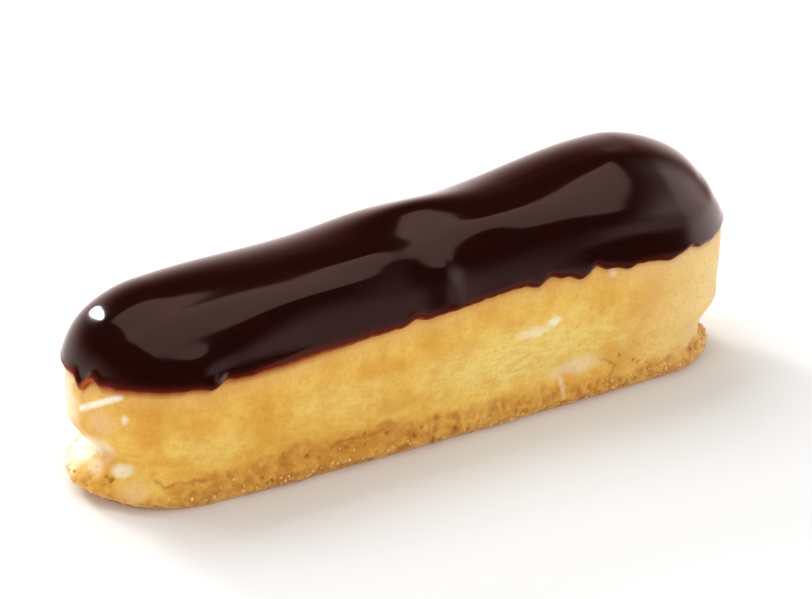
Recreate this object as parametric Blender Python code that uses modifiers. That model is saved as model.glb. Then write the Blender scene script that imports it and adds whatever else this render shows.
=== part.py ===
"""A finger of baked choux pastry under a glossy chocolate icing: a mini eclair, 75 mm long.

Both pieces share one oval track, like the path of a piping nozzle, and one section that is carried
round it. The section starts at the middle of the base, turns up round the foot, climbs the wall and
closes over the dome at the ridge. X runs along the finger, Z is up, and the base rests on Z = 0.
"""

import math

import bmesh
import bpy
from mathutils import Vector, noise

MM = 0.001

# The baked finger, without its icing. Each list goes from the left end, at -X, to the right end.
LENGTH = 71.6 * MM
END_REACH = 9.0 * MM
HALF_WIDTHS = [8.4 * MM, 9.0 * MM, 9.3 * MM, 9.5 * MM, 9.65 * MM]
HEIGHTS = [17.8 * MM, 18.5 * MM, 18.7 * MM, 19.15 * MM, 19.7 * MM, 21.1 * MM, 20.5 * MM]
BOW = -0.5 * MM
TRACK_SPAN = LENGTH / 2 - END_REACH

# The section, as shares of the half width and of the height.
BASE_SHARE = 0.84
FOOT_SHARE = 0.1
SHOULDER_SHARE = 0.54
DOME_POWER = 2.27

# The section's rows are numbered from -1 at the middle of the base to 1 at the ridge, with 0 at the
# widest point of the foot and the shoulder between them.
FOOT_ROW = -0.45
SHOULDER_ROW = 0.38

# How far the wall stands out of the plain section, in millimetres at even steps of height from the
# floor to PROFILE_TOP. The left end has a proud foot under a notch, and the right end leans out.
PROFILE_TOP = 18.0 * MM
WALL_OUT = {
    "left": [-0.7, 1.0, 0.2, -1.5, -0.2, 0.8, 0.9, 0.9, 1.0, 1.0, 0.8, 0.4, 0.3],
    "side": [-0.2, 0.2, 0.0, -0.2, 0.05, 0.1, 0.05, 0.0, 0.0, 0.0, 0.0, 0.0, 0.0],
    "right": [0.3, -0.4, -1.6, -0.8, 0.8, 1.0, 1.2, 1.4, 1.5, 1.6, 1.2, 0.3, -0.3],
}

# Relief of the crust: broad lumps, crags on the foot, and the hollow where the front wall stretched.
LUMP_SIZE = 7.0 * MM
LUMP_HEIGHT = 0.2 * MM
CRAG_SIZE = 2.4 * MM
CRAG_HEIGHT = 0.4 * MM
CRAG_TOP = 3.2 * MM
STRETCH_MIDDLE = (9.0 * MM, 6.3 * MM)
STRETCH_HALF_SIZE = (12.0 * MM, 3.4 * MM)
STRETCH_DEPTH = 0.3 * MM

# The icing, whose lower edge is given by its height above the floor, from the left end to the right.
ICING_GAP = 0.3 * MM
ICING_THICKNESS = 1.0 * MM
ICING_SWELL = 0.25
ICING_SWELL_SIZE = 8.0 * MM
RIM_THICKNESS_SHARE = 0.35
RIM_SHARE = 0.25
EDGE_HEIGHTS = [12.6 * MM, 12.55 * MM, 12.9 * MM, 13.4 * MM, 13.85 * MM,
                14.35 * MM, 14.0 * MM, 13.5 * MM, 14.0 * MM]
EDGE_WAVE_SIZE = 5.0 * MM
EDGE_WAVE_HEIGHT = 0.5 * MM

# Where the icing's front edge steps up (+) or drips (-): place along X, rise and half width.
FRONT_STEPS = [
    (-36.4 * MM, 0.5 * MM, 1.3 * MM),
    (-27.0 * MM, -0.25 * MM, 1.5 * MM),
    (-25.2 * MM, 0.3 * MM, 1.3 * MM),
    (-4.2 * MM, 0.3 * MM, 1.3 * MM),
    (9.9 * MM, -0.35 * MM, 1.3 * MM),
    (11.8 * MM, 0.3 * MM, 1.3 * MM),
    (15.0 * MM, -0.4 * MM, 1.5 * MM),
    (17.0 * MM, 0.45 * MM, 1.3 * MM),
    (20.7 * MM, -0.3 * MM, 1.5 * MM),
    (25.6 * MM, -0.25 * MM, 1.8 * MM),
    (28.4 * MM, 0.45 * MM, 1.5 * MM),
]

# Puts the middle of the whole eclair's box at the origin.
BOX_SHIFT = Vector((-0.33 * MM, 0.25 * MM, 0.0))

# Steps of the mesh.
END_STEPS = 20
SIDE_STEPS = 42
BASE_ROWS = 3
FOOT_ROWS = 4
WALL_ROWS = 8
DOME_ROWS = 7
ICING_ROWS = 9
MERGE_DISTANCE = 0.01 * MM


def clear_scene():
    for thing in list(bpy.data.objects):
        bpy.data.objects.remove(thing)


def principled(name, colour, roughness):
    material = bpy.data.materials.new(name)
    material.use_nodes = True
    shader = material.node_tree.nodes["Principled BSDF"]
    shader.inputs["Base Color"].default_value = (*colour, 1.0)
    shader.inputs["Roughness"].default_value = roughness
    shader.inputs["Metallic"].default_value = 0.0
    return material


def smoothstep(low, high, value):
    share = min(max((value - low) / (high - low), 0.0), 1.0)
    return share * share * (3 - 2 * share)


def hump(centre, half_width, value):
    """1 at the centre, easing to 0 at half_width on either side."""
    away = min(abs(value - centre) / half_width, 1.0)
    return 0.5 + 0.5 * math.cos(math.pi * away)


def curve(values, share):
    """A smooth curve through evenly spaced values, at a share of the way from the first to the last."""
    place = min(max(share, 0.0), 1.0) * (len(values) - 1)
    first = min(int(place), len(values) - 2)
    part = place - first
    before = values[max(first - 1, 0)]
    start = values[first]
    end = values[first + 1]
    after = values[min(first + 2, len(values) - 1)]
    start_slope = (end - before) / 2
    end_slope = (after - start) / 2
    cubic = 2 * start - 2 * end + start_slope + end_slope
    square = 3 * end - 3 * start - 2 * start_slope - end_slope
    return ((cubic * part + square) * part + start_slope) * part + start


def along(values, x):
    """The same curve, from the finger's left end to its right end."""
    return curve(values, x / LENGTH + 0.5)


def section(row):
    """The share of the half width and of the height at a row of the section."""
    if row <= FOOT_ROW:
        return BASE_SHARE * (row + 1) / (FOOT_ROW + 1), 0.0
    if row <= 0:
        turn = (row - FOOT_ROW) / -FOOT_ROW * math.pi / 2
        return BASE_SHARE + (1 - BASE_SHARE) * math.sin(turn), FOOT_SHARE * (1 - math.cos(turn))
    if row <= SHOULDER_ROW:
        return 1.0, FOOT_SHARE + (SHOULDER_SHARE - FOOT_SHARE) * row / SHOULDER_ROW
    turn = (row - SHOULDER_ROW) / (1 - SHOULDER_ROW) * math.pi / 2
    across = max(math.cos(turn), 0.0) ** (2 / DOME_POWER)
    up = SHOULDER_SHARE + (1 - SHOULDER_SHARE) * math.sin(turn) ** (2 / DOME_POWER)
    return across, up


def dome_row(height_share):
    """The row of the dome that is at a share of the height."""
    up = (height_share - SHOULDER_SHARE) / (1 - SHOULDER_SHARE)
    turn = math.asin(min(max(up, 0.0), 1.0) ** (DOME_POWER / 2))
    return SHOULDER_ROW + (1 - SHOULDER_ROW) * turn / (math.pi / 2)


def wall_out(facing, z):
    """How far the wall stands out. facing is -1 at the left tip, 0 along the sides and 1 at the right."""
    end_name = "left" if facing < 0 else "right"
    end_share = abs(facing) ** 1.5
    side = curve(WALL_OUT["side"], z / PROFILE_TOP)
    end = curve(WALL_OUT[end_name], z / PROFILE_TOP)
    return MM * (side + (end - side) * end_share)


def relief(point, row):
    """How far the crust stands out or in at a point of the plain form."""
    lumps = LUMP_HEIGHT * noise.noise(point / LUMP_SIZE)
    crag_share = 1 - smoothstep(CRAG_TOP * 0.7, CRAG_TOP * 1.3, point.z)
    crags = CRAG_HEIGHT * noise.noise(point / CRAG_SIZE) * crag_share
    stretch = hump(STRETCH_MIDDLE[0], STRETCH_HALF_SIZE[0], point.x)
    stretch *= hump(STRETCH_MIDDLE[1], STRETCH_HALF_SIZE[1], point.z)
    hollow = STRETCH_DEPTH * stretch if point.y < 0 else 0.0
    return smoothstep(FOOT_ROW, 0.0, row) * (lumps + crags - hollow)


def crust(x_centre, facing, across_facing, row):
    """A point of the baked crust. The track's outward direction there is (facing, across_facing)."""
    across, up = section(row)
    z = up * along(HEIGHTS, x_centre + END_REACH * facing * across)
    reach = (END_REACH + wall_out(facing, z)) * across
    x = x_centre + reach * facing
    y = reach * across_facing * along(HALF_WIDTHS, x_centre) / END_REACH
    point = Vector((x, y + BOW * (1 - (2 * x / LENGTH) ** 2), z))
    outward = Vector((facing * across, across_facing * across, max(up - 0.4, 0.0))).normalized()
    return point + BOX_SHIFT + outward * relief(point, row)


def icing_edge_row(x, y):
    """The row where the icing ends at a place on the track. The front has the steps that show."""
    height = along(EDGE_HEIGHTS, x)
    if y < 0:
        height += sum(rise * hump(middle, half_width, x) for middle, rise, half_width in FRONT_STEPS)
    else:
        height += EDGE_WAVE_HEIGHT * noise.noise(Vector((x, y, 0.0)) / EDGE_WAVE_SIZE)
    return dome_row(height / along(HEIGHTS, x))


def carried_band(rows):
    """An upright band of faces, a unit wide from row to row, carried once round the finger's track."""
    band = bmesh.new()
    line = [band.verts.new((TRACK_SPAN, -END_REACH, row)) for row in rows]
    carried = line + [band.edges.new(pair) for pair in zip(line, line[1:])]
    upright = (0.0, 0.0, 1.0)
    for end in (1, -1):
        turn = bmesh.ops.spin(band, geom=carried, cent=(end * TRACK_SPAN, 0, 0), axis=upright,
                              angle=math.pi, steps=END_STEPS)
        slide = bmesh.ops.spin(band, geom=turn["geom_last"], axis=upright, angle=0.0,
                               dvec=(-end * 2 * TRACK_SPAN / SIDE_STEPS, 0, 0), steps=SIDE_STEPS)
        carried = slide["geom_last"]
    bmesh.ops.remove_doubles(band, verts=band.verts, dist=MERGE_DISTANCE)
    return band


def track_place(vertex):
    """Where a band's vertex is on the track: the centre's x, the outward direction and the row."""
    x_centre = min(max(vertex.co.x, -TRACK_SPAN), TRACK_SPAN)
    return x_centre, (vertex.co.x - x_centre) / END_REACH, vertex.co.y / END_REACH, vertex.co.z


def finished(band, name, material):
    """Closes the ridge, turns the faces outwards and makes the object."""
    bmesh.ops.remove_doubles(band, verts=band.verts, dist=MERGE_DISTANCE)
    bmesh.ops.recalc_face_normals(band, faces=band.faces)
    mesh = bpy.data.meshes.new(name)
    band.to_mesh(mesh)
    band.free()
    mesh.shade_smooth()
    mesh.materials.append(material)
    return bpy.data.objects.new(name, mesh)


def evenly(start, end, steps):
    return [start + (end - start) * step / steps for step in range(steps)]


def make_choux(material):
    rows = evenly(-1.0, FOOT_ROW, BASE_ROWS) + evenly(FOOT_ROW, 0.0, FOOT_ROWS)
    rows += evenly(0.0, SHOULDER_ROW, WALL_ROWS) + evenly(SHOULDER_ROW, 1.0, DOME_ROWS) + [1.0]
    band = carried_band(rows)
    for vertex in band.verts:
        vertex.co = crust(*track_place(vertex))
    return finished(band, "choux", material)


def make_icing(material):
    """A sheet that follows the crust from the wandering edge to the ridge, thickened outwards."""
    band = carried_band(evenly(0.0, 1.0, ICING_ROWS) + [1.0])
    thickness_shares = {}
    for vertex in band.verts:
        x_centre, facing, across_facing, share = track_place(vertex)
        edge = icing_edge_row(vertex.co.x, vertex.co.y)
        vertex.co = crust(x_centre, facing, across_facing, edge + (1 - edge) * share)
        body = smoothstep(0.0, RIM_SHARE, share)
        body *= 1 + ICING_SWELL * noise.noise(vertex.co / ICING_SWELL_SIZE)
        thickness_shares[vertex] = RIM_THICKNESS_SHARE + (1 - RIM_THICKNESS_SHARE) * body
    bmesh.ops.remove_doubles(band, verts=band.verts, dist=MERGE_DISTANCE)
    bmesh.ops.recalc_face_normals(band, faces=band.faces)
    band.normal_update()
    for vertex in band.verts:
        vertex.co = vertex.co + vertex.normal * ICING_GAP
    band.verts.index_update()
    weights = [thickness_shares.get(vertex, 1.0) for vertex in band.verts]
    icing = finished(band, "icing", material)
    body = icing.vertex_groups.new(name="body")
    for index, weight in enumerate(weights):
        body.add([index], weight, "REPLACE")
    shell = icing.modifiers.new("Coat", "SOLIDIFY")
    shell.thickness = ICING_THICKNESS
    shell.offset = 1.0
    shell.use_even_offset = True
    shell.vertex_group = "body"
    return icing


def main():
    clear_scene()
    eclair = bpy.data.collections.new("eclair")
    bpy.context.scene.collection.children.link(eclair)
    baked = principled("baked choux", (0.72, 0.44, 0.14), 0.62)
    chocolate = principled("chocolate icing", (0.022, 0.006, 0.004), 0.12)
    eclair.objects.link(make_choux(baked))
    eclair.objects.link(make_icing(chocolate))


main()
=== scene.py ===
# %% [markdown]
# # A small chocolate eclair
#
# A finger of choux pastry is piped, baked until it is golden and hollow, and dipped top down in
# chocolate icing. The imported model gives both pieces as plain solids. This lesson dresses them: it
# builds each piece again at the same size and place, with the relief that a camera sees, and gives
# it a finish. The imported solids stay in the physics, hidden behind the new pieces.

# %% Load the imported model
import math

import bmesh
import bpy
import numpy as np
from mathutils import Matrix, Vector, noise


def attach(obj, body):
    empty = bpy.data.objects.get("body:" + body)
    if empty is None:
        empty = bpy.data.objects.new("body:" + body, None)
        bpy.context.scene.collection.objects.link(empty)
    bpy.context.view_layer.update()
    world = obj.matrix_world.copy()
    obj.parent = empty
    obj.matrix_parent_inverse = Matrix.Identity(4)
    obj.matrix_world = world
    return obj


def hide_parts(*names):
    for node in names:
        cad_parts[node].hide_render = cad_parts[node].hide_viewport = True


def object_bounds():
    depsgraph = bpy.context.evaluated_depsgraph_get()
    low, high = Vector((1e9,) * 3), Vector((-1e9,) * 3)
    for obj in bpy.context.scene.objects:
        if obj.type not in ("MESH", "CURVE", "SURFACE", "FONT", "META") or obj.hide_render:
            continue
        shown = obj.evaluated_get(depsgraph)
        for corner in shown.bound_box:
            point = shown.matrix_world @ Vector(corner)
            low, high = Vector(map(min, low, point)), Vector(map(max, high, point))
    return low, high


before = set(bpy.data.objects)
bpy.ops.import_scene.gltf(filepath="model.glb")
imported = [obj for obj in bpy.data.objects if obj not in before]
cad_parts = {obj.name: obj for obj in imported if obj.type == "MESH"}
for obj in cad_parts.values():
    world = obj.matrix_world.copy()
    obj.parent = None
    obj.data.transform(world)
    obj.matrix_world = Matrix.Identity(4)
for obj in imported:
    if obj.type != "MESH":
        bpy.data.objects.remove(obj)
CAD_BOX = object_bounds()
MM = 0.001
print("packed nodes:", sorted(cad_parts))
print("packed box in mm:", [round(side / MM, 1) for side in CAD_BOX[1] - CAD_BOX[0]])

# %% [markdown]
# ## Camera
#
# The photograph is taken from a little above, with a long lens, so the far end hardly shrinks. The
# camera stands beyond the left end, in front. Aiming it slightly above the pastry's middle puts the
# pastry where the photograph has it, so the lens needs no shift.

# %% Place the camera
PHOTO_WIDTH = 812
TURN = math.radians(32.8)
ELEVATION = math.radians(25.0)
DISTANCE = 370 * MM
PIXELS_PER_METRE = 10.06 / MM
PASTRY_MIDDLE = Vector((0.0, 0.0, 10 * MM))
AIM_RIGHT = 0.1 * MM
AIM_UP = 1.41 * MM
SENSOR_WIDTH = 36.0
NEAREST = 0.01
FARTHEST = 50.0

back = Vector((-math.sin(TURN) * math.cos(ELEVATION), -math.cos(TURN) * math.cos(ELEVATION),
               math.sin(ELEVATION)))
right = Vector((0, 0, 1)).cross(back).normalized()
up = back.cross(right)
camera_data = bpy.data.cameras.new("camera")
camera_data.sensor_width = SENSOR_WIDTH
camera_data.lens = PIXELS_PER_METRE * DISTANCE / PHOTO_WIDTH * SENSOR_WIDTH
camera_data.clip_start = NEAREST
camera_data.clip_end = FARTHEST
camera = bpy.data.objects.new("camera", camera_data)
camera.location = PASTRY_MIDDLE + back * DISTANCE
aim = PASTRY_MIDDLE + right * AIM_RIGHT + up * AIM_UP
camera.rotation_euler = (aim - camera.location).to_track_quat("-Z", "Y").to_euler()
bpy.context.scene.collection.objects.link(camera)
bpy.context.scene.camera = camera
bpy.context.scene.view_settings.view_transform = "Standard"
print("lens in mm:", round(camera_data.lens, 1))

# %% [markdown]
# ## Nodes from Python expressions
#
# A finish is a tree of nodes, and long trees are hard to read when each node and link is a line of
# its own. Wrapping a socket in a class with overloaded operators lets a sum of sockets be written as
# a sum. The same helper builds the Geometry Nodes trees further down.

# %% Nodes from Python expressions
class Wire:
    """A socket of a node tree. Sums and products of wires add the Math nodes that work them out."""

    def __init__(self, tree, socket):
        self.tree = tree
        self.socket = socket

    def math(self, operation, first, second):
        """A Math node. Each of its two values is a wire or a number."""
        return self.tree.add("ShaderNodeMath", {"operation": operation}, [first, second])[0]

    def __add__(self, other):
        return self.math("ADD", self, other)

    def __radd__(self, other):
        return self.math("ADD", other, self)

    def __sub__(self, other):
        return self.math("SUBTRACT", self, other)

    def __rsub__(self, other):
        return self.math("SUBTRACT", other, self)

    def __mul__(self, other):
        return self.math("MULTIPLY", self, other)

    def __rmul__(self, other):
        return self.math("MULTIPLY", other, self)

    def __truediv__(self, other):
        return self.math("DIVIDE", self, other)

    def __rtruediv__(self, other):
        return self.math("DIVIDE", other, self)

    def at_least(self, other):
        return self.math("MAXIMUM", self, other)

    def step(self, low, high):
        """0 below low, 1 above high, and smooth between them. low may be above high."""
        settings = {"interpolation_type": "SMOOTHSTEP"}
        values = {"Value": self, "From Min": low, "From Max": high}
        return self.tree.add("ShaderNodeMapRange", settings, values)[0]


class Tree:
    """Adds nodes to a shader or geometry tree."""

    def __init__(self, nodes, links):
        self.nodes = nodes
        self.links = links

    def add(self, kind, settings=None, values=()):
        """Adds a node, sets it up, then fills its inputs by name or by order. Returns its outputs."""
        node = self.nodes.new(kind)
        for name, value in (settings or {}).items():
            setattr(node, name, value)
        pairs = values.items() if isinstance(values, dict) else enumerate(values)
        for key, value in pairs:
            if isinstance(value, Wire):
                self.links.new(value.socket, node.inputs[key])
            else:
                node.inputs[key].default_value = value
        return Outputs(self, node)

    def mix(self, share, first, second):
        """Blends two colours. A Mix node has its colour sockets after those for other kinds of data."""
        settings = {"data_type": "RGBA", "clamp_factor": True}
        return self.add("ShaderNodeMix", settings, {0: share, 6: first, 7: second})[2]


class Outputs:
    """A node's outputs, by number or by name."""

    def __init__(self, tree, node):
        self.tree = tree
        self.node = node

    def __getitem__(self, key):
        return Wire(self.tree, self.node.outputs[key])


UNSTRETCHED = (1.0, 1.0, 1.0)


def scaled(tree, place, factor, stretch_by=UNSTRETCHED):
    """A place times a factor, stretched along each axis."""
    along_axes = tree.add("ShaderNodeVectorMath", {"operation": "MULTIPLY"}, [place, stretch_by])
    return tree.add("ShaderNodeVectorMath", {"operation": "SCALE"},
                    {"Vector": along_axes[0], "Scale": factor})[0]


# %% [markdown]
# ## Finishes
#
# All three finishes are node materials, painted by noise rather than by images. Colours are written
# as they look on a screen, and one function turns them into amounts of light.

# %% Helpers for materials
NOISE_ROUGHNESS = 0.55


def colour(red, green, blue):
    """A screen colour, 0 to 255, as linear light with alpha."""
    def linear(value):
        value /= 255.0
        return value / 12.92 if value <= 0.04045 else ((value + 0.055) / 1.055) ** 2.4
    return (linear(red), linear(green), linear(blue), 1.0)


def new_material(name, constants):
    """A material with a Principled shader, whose constant inputs are set on its own sockets."""
    material = bpy.data.materials.new(name)
    material.use_nodes = True
    tree = Tree(material.node_tree.nodes, material.node_tree.links)
    shader = material.node_tree.nodes["Principled BSDF"]
    for socket, value in constants.items():
        shader.inputs[socket].default_value = value
    return material, tree, shader


def attribute(tree, name):
    return tree.add("ShaderNodeAttribute", {"attribute_name": name})["Fac"]


def object_place(tree):
    return tree.add("ShaderNodeTexCoord")["Object"]


def texture(tree, size, stretch_by=UNSTRETCHED, detail=3.0):
    """Noise from 0 to 1 on Object coordinates, with features of the given size."""
    vector = scaled(tree, object_place(tree), 1.0 / size, stretch_by)
    values = {"Vector": vector, "Scale": 1.0, "Detail": detail, "Roughness": NOISE_ROUGHNESS}
    return tree.add("ShaderNodeTexNoise", {}, values)["Fac"]


# %% [markdown]
# Choux is golden, never one colour: the skin is mottled, paler where it stretched or stayed moist,
# and browner at the foot, and the crust is darker in a thin band right under the icing's edge.
# Painted shade darkens the pits, the cracks and the hollows of the crumb. Painted highlights and
# painted light brighten the glints, the wet streak and the left end, and a paler tone towards the
# right end is painted light shining through the thin crust from behind. Noise of several sizes
# gives the mottling, and masks that come with the mesh say where the rest goes.

# %% Tones of the crust
SKIN = colour(229, 168, 56)
SKIN_LIGHT = colour(242, 198, 92)
SKIN_DEEP = colour(212, 140, 38)
TAN = colour(228, 176, 104)
STRETCHED_SKIN = colour(246, 220, 128)
# Near white: pale dough, and painted light at the glints, the wet streak and the bright left end.
PALE_AND_LIT_SKIN = colour(255, 250, 226)
MOIST_SKIN = colour(236, 196, 138)
# Darker crust in a thin band right under the icing's edge.
UNDER_EDGE_SKIN = colour(176, 100, 44)
# Painted light: the right end is paler where light from behind shines through the thin crust.
BACKLIT_FAR_SKIN = colour(250, 226, 172)
BROWN_SKIN = colour(206, 140, 44)
CRUMB_DARK = colour(194, 124, 34)
CRUMB_LIGHT = colour(233, 178, 76)
GRANULE = colour(248, 216, 138)
# Painted shade: the next two darken the hollows of the crumb, and the pits and cracks.
HOLLOW_SHADE = colour(182, 108, 26)
PIT_SHADE = colour(164, 92, 26)
MOTTLE_SIZE = 4.0 * MM
BLOTCH_SIZE = 1.1 * MM
MARK_SIZE = 0.8 * MM
MARK_STRETCH = (0.45, 1.0, 1.5)
SPECKLE_SIZE = 0.34 * MM
FINE_SIZE = 0.17 * MM
BUMP_HEIGHT = 0.06 * MM

# How much of its tone each mask gives where it is full.
SHARES = {"near_icing": 0.55, "hollow_shade": 0.6, "browned": 0.65, "moist": 0.75, "pit_shade": 0.7, "under_edge": 0.75}


def tinted(tree, skin, name, tone):
    return tree.mix(attribute(tree, name) * SHARES[name], skin, tone)


# %% [markdown]
# The tones are laid over each other like glazes, from the broad mottling to the pits. The crust is
# dull, with a glint where it is moist. Light goes a little way into it, which softens its relief.

# %% The baked finish
baked, tree, shader = new_material("baked_choux", {
    "Subsurface Weight": 0.2, "Subsurface Scale": 0.6 * MM,
    "Subsurface Radius": (1.0, 0.55, 0.22), "Specular IOR Level": 0.35,
})
broad = texture(tree, MOTTLE_SIZE)
middling = texture(tree, BLOTCH_SIZE, detail=4.0)
marks = texture(tree, MARK_SIZE, MARK_STRETCH)
speckle = texture(tree, SPECKLE_SIZE, detail=2.0)
fine = texture(tree, FINE_SIZE, detail=2.0)
pale_and_lit = attribute(tree, "pale_and_lit")

skin = tree.mix(broad.step(0.3, 0.64), SKIN, SKIN_LIGHT)
skin = tree.mix(middling.step(0.44, 0.68) * 0.3, skin, SKIN_DEEP)
skin = tinted(tree, skin, "near_icing", TAN)
stretched_share = attribute(tree, "stretched") * (0.45 + marks.step(0.35, 0.62) * 0.45)
skin = tree.mix(stretched_share, skin, STRETCHED_SKIN)
crumb_tone = tree.mix(middling.step(0.38, 0.62), CRUMB_DARK, CRUMB_LIGHT)
foot_share = attribute(tree, "foot") * (0.5 + broad.step(0.6, 0.35) * 0.35)
skin = tree.mix(foot_share, skin, crumb_tone)
# Painted shade in the hollows of the crumb.
skin = tinted(tree, skin, "hollow_shade", HOLLOW_SHADE)
skin = tinted(tree, skin, "browned", BROWN_SKIN)
# Painted light: paler towards the right end, where light from behind shines through the thin crust.
skin = tree.mix(attribute(tree, "backlit_far_end") * (0.3 + middling * 0.5), skin, BACKLIT_FAR_SKIN)
skin = tinted(tree, skin, "moist", MOIST_SKIN)
# Pale dough, and painted light: painted highlights at the glints and the wet streak, and the lit left
# end.
skin = tree.mix(pale_and_lit * (0.55 + marks * 0.7), skin, PALE_AND_LIT_SKIN)
skin = tree.mix(speckle.step(0.5, 0.72) * (0.3 - pale_and_lit * 0.25), skin, SKIN_DEEP)
skin = tree.mix(fine.step(0.52, 0.74) * 0.25, skin, GRANULE)
# Painted shade in the pits and cracks.
skin = tinted(tree, skin, "pit_shade", PIT_SHADE)
# Darker in a thin band right under the icing's edge.
skin = tinted(tree, skin, "under_edge", UNDER_EDGE_SKIN)
tree.links.new(skin.socket, shader.inputs["Base Color"])

dull = 0.58 - pale_and_lit * 0.3 - attribute(tree, "moist") * 0.2 - fine.step(0.5, 0.7) * 0.15
tree.links.new(dull.socket, shader.inputs["Roughness"])
grain_height = fine * 0.7 + speckle + marks * 0.35
bump = tree.add("ShaderNodeBump", {}, {"Strength": 0.6, "Distance": BUMP_HEIGHT, "Height": grain_height})
tree.links.new(bump[0].socket, shader.inputs["Normal"])

# %% [markdown]
# Chocolate icing is nearly black and its wet gloss mirrors the studio. At the lip it is so thin
# that the light pastry shines through it, first dark red and then orange. That thin edge doesn't
# mirror either, so a second, dull shader takes over there.

# %% The icing's finish
COCOA_DARK = colour(26, 6, 4)
COCOA_LIGHT = colour(36, 10, 7)
COCOA_RED = colour(92, 24, 9)
THIN_RED = colour(84, 20, 8)
THIN_ORANGE = colour(182, 84, 30)
COCOA_SIZE = 3.0 * MM
RIM_RAGGED_SIZE = 0.5 * MM
RIM_RAGGED = 0.35

chocolate, tree, shader = new_material("chocolate_icing", {"Roughness": 0.09, "IOR": 1.5})
rim_tone = attribute(tree, "rim")
ragged_rim = rim_tone + (texture(tree, RIM_RAGGED_SIZE) - 0.5) * RIM_RAGGED * rim_tone
brown = tree.mix(texture(tree, COCOA_SIZE), COCOA_DARK, COCOA_LIGHT)
brown = tree.mix(ragged_rim.step(0.12, 0.7), brown, COCOA_RED)
tree.links.new(brown.socket, shader.inputs["Base Color"])
thin = tree.add("ShaderNodeBsdfPrincipled", {}, {
    "Base Color": tree.mix(ragged_rim.step(0.5, 1.0), THIN_RED, THIN_ORANGE),
    "Roughness": 0.5, "Specular IOR Level": 0.15})
edged = tree.add("ShaderNodeMixShader", {}, {
    0: ragged_rim.step(0.3, 0.75), 1: Wire(tree, shader.outputs[0]), 2: thin[0]})
ends = tree.nodes["Material Output"]
tree.links.new(edged[0].socket, ends.inputs["Surface"])

# %% [markdown]
# The loose grains on the foot are crumbs of the same dough, some browned and some pale.

# %% The crumbs' finish
GRAIN_DARK = colour(208, 138, 48)
GRAIN_LIGHT = colour(244, 208, 132)
GRAIN_TONE_SIZE = 0.8 * MM

crumb_finish, tree, shader = new_material("crumb", {"Roughness": 0.5, "Specular IOR Level": 0.4})
tone = tree.mix(texture(tree, GRAIN_TONE_SIZE).step(0.35, 0.65), GRAIN_DARK, GRAIN_LIGHT)
tree.links.new(tone.socket, shader.inputs["Base Color"])
print("finishes:", [finish.name for finish in (baked, chocolate, crumb_finish)])

# %% [markdown]
# ## The form
#
# A piping nozzle lays the dough along a line, so one section carried round an oval track gives the
# whole finger. The numbers here are the same as in the part's source, so the dressed pieces stay
# where the solids are; only the base is a little wider, since the crumb reaches the tray with hardly
# any rounding. Working on whole columns and rows of numbers at once keeps a fine mesh quick.

# %% The track and the section
# HALF_WIDTHS and HEIGHTS go in even steps from the left end to the right one.
LENGTH = 71.6 * MM
END_REACH = 9.0 * MM
TRACK_SPAN = LENGTH / 2 - END_REACH
HALF_WIDTHS = np.array([8.4, 9.0, 9.3, 9.5, 9.65]) * MM
HEIGHTS = np.array([17.8, 18.5, 18.7, 19.15, 19.7, 21.1, 20.5]) * MM
BOW = -0.5 * MM
BOX_SHIFT = np.array([-0.33, 0.25, 0.0]) * MM
BASE_SHARE = 0.93
FOOT_SHARE = 0.1
SHOULDER_SHARE = 0.54
DOME_POWER = 2.27
FOOT_ROW = -0.45
SHOULDER_ROW = 0.38
PROFILE_TOP = 18.0 * MM
END_BLEND = 1.5

# How far the wall stands out or in, in mm, at even steps of height from the floor to PROFILE_TOP.
WALL_OUT = {
    "left": [-0.7, 1.0, 0.2, -1.5, -0.2, 0.8, 0.9, 0.9, 1.0, 1.0, 0.8, 0.4, 0.3],
    "side": [-0.2, 0.2, 0.0, -0.2, 0.05, 0.1, 0.05, 0.0, 0.0, 0.0, 0.0, 0.0, 0.0],
    "right": [0.3, -0.4, -1.6, -0.8, 0.8, 1.0, 1.2, 1.4, 1.5, 1.6, 1.2, 0.3, -0.3],
}


def smoothstep(low, high, value):
    share = np.clip((value - low) / (high - low), 0.0, 1.0)
    return share * share * (3 - 2 * share)


def hump(centre, half_width, value):
    """1 at the centre, easing to 0 at half_width on either side."""
    away = np.minimum(np.abs(value - centre) / half_width, 1.0)
    return 0.5 + 0.5 * np.cos(np.pi * away)


def curve(values, share):
    """A smooth curve through evenly spaced values, at a share of the way from first to last."""
    values = np.asarray(values, float)
    place = np.clip(share, 0.0, 1.0) * (len(values) - 1)
    first = np.minimum(place.astype(int), len(values) - 2)
    part = place - first
    before = values[np.maximum(first - 1, 0)]
    start = values[first]
    end = values[first + 1]
    after = values[np.minimum(first + 2, len(values) - 1)]
    start_slope = (end - before) / 2
    end_slope = (after - start) / 2
    cubic = 2 * start - 2 * end + start_slope + end_slope
    square = 3 * end - 3 * start - 2 * start_slope - end_slope
    return ((cubic * part + square) * part + start_slope) * part + start


def along(values, x):
    return curve(values, x / LENGTH + 0.5)


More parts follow.
